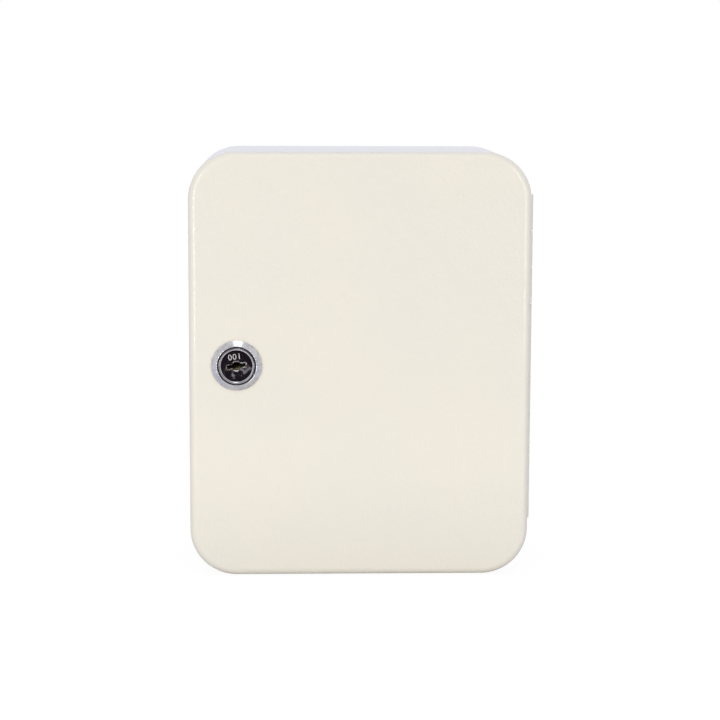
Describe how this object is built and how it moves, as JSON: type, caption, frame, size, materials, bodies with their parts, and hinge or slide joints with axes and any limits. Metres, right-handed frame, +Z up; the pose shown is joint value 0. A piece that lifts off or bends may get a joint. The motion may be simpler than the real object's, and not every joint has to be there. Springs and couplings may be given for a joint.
{
  "type": "key cabinet",
  "caption": "Small wall key cabinet: painted steel case with rows of key hooks, and a side-hinged door with rounded corners and a cam lock.",
  "frame": {"origin": "centre of the flat back, in the plane of the wall", "axes": "+Z up, +Y into the wall, -Y out of the door's face, +X towards the hinge side"},
  "size_m": [0.1627, 0.0826, 0.2],
  "materials": {
    "powder_coat": "cream powder coat with a fine orange-peel texture, semi-gloss",
    "chrome": "chrome-plated die casting, satin bevel and polished face",
    "zinc_steel": "bright zinc-plated steel",
    "brass": "stamped brass, slightly dull",
    "spring_steel": "dark spring wire",
    "label_white": "matt white label film",
    "register_card": "plain ruled card"
  },
  "bodies": {
    "case": {"case_band": "powder_coat", "back_panel": "powder_coat", "hinge_leaf_case": "powder_coat", "hinge_pin": "zinc_steel", "hook_rail_1": "powder_coat", "hook_rail_2": "powder_coat", "hook_rail_3": "powder_coat", "hook_rail_4": "powder_coat", "number_strip_1": "label_white", "number_strip_2": "label_white", "number_strip_3": "label_white", "number_strip_4": "label_white", "rail_rivet_1": "zinc_steel", "rail_rivet_2": "zinc_steel", "rail_rivet_3": "zinc_steel", "rail_rivet_4": "zinc_steel", "rail_rivet_5": "zinc_steel", "rail_rivet_6": "zinc_steel", "rail_rivet_7": "zinc_steel", "rail_rivet_8": "zinc_steel"},
    "door": {"door_shell": "powder_coat", "hinge_leaf_door": "powder_coat", "register_card": "register_card", "card_rail_left": "powder_coat", "card_rail_right": "powder_coat", "lock_housing": "chrome", "lock_washer": "zinc_steel", "lock_nut": "zinc_steel"},
    "lock_plug": {"lock_plug": "chrome", "stop_washer": "zinc_steel", "lock_cam": "zinc_steel", "cam_screw": "zinc_steel", "wafer_spring_1": "spring_steel", "wafer_spring_2": "spring_steel", "wafer_spring_3": "spring_steel", "wafer_spring_4": "spring_steel", "wafer_spring_5": "spring_steel"},
    "wafer_1": {"wafer_1": "brass"},
    "wafer_2": {"wafer_2": "brass"},
    "wafer_3": {"wafer_3": "brass"},
    "wafer_4": {"wafer_4": "brass"},
    "wafer_5": {"wafer_5": "brass"}
  },
  "joints": [
    {"name": "door_hinge", "type": "hinge", "parent": "case", "child": "door", "pos_m": [0.0804, -0.06, 0], "axis": [0, 0, 1], "range_deg": [0, 175]},
    {"name": "lock_turn", "type": "hinge", "parent": "door", "child": "lock_plug", "pos_m": [-0.0577, -0.07, 0.0006], "axis": [0, 1, 0], "range_deg": [0, 90]},
    {"name": "wafer_1_slide", "type": "slide", "parent": "lock_plug", "child": "wafer_1", "axis": [-0.9903, 0, -0.1392], "range_m": [0, 0.0008]},
    {"name": "wafer_2_slide", "type": "slide", "parent": "lock_plug", "child": "wafer_2", "axis": [-0.9903, 0, -0.1392], "range_m": [0, 0.0008]},
    {"name": "wafer_3_slide", "type": "slide", "parent": "lock_plug", "child": "wafer_3", "axis": [-0.9903, 0, -0.1392], "range_m": [0, 0.0008]},
    {"name": "wafer_4_slide", "type": "slide", "parent": "lock_plug", "child": "wafer_4", "axis": [-0.9903, 0, -0.1392], "range_m": [0, 0.0008]},
    {"name": "wafer_5_slide", "type": "slide", "parent": "lock_plug", "child": "wafer_5", "axis": [-0.9903, 0, -0.1392], "range_m": [0, 0.0008]}
  ],
  "couplings": [
    {"joint": "wafer_2_slide", "follows": "wafer_1_slide", "ratio": 1},
    {"joint": "wafer_3_slide", "follows": "wafer_1_slide", "ratio": 1},
    {"joint": "wafer_4_slide", "follows": "wafer_1_slide", "ratio": 1},
    {"joint": "wafer_5_slide", "follows": "wafer_1_slide", "ratio": 1}
  ]
}
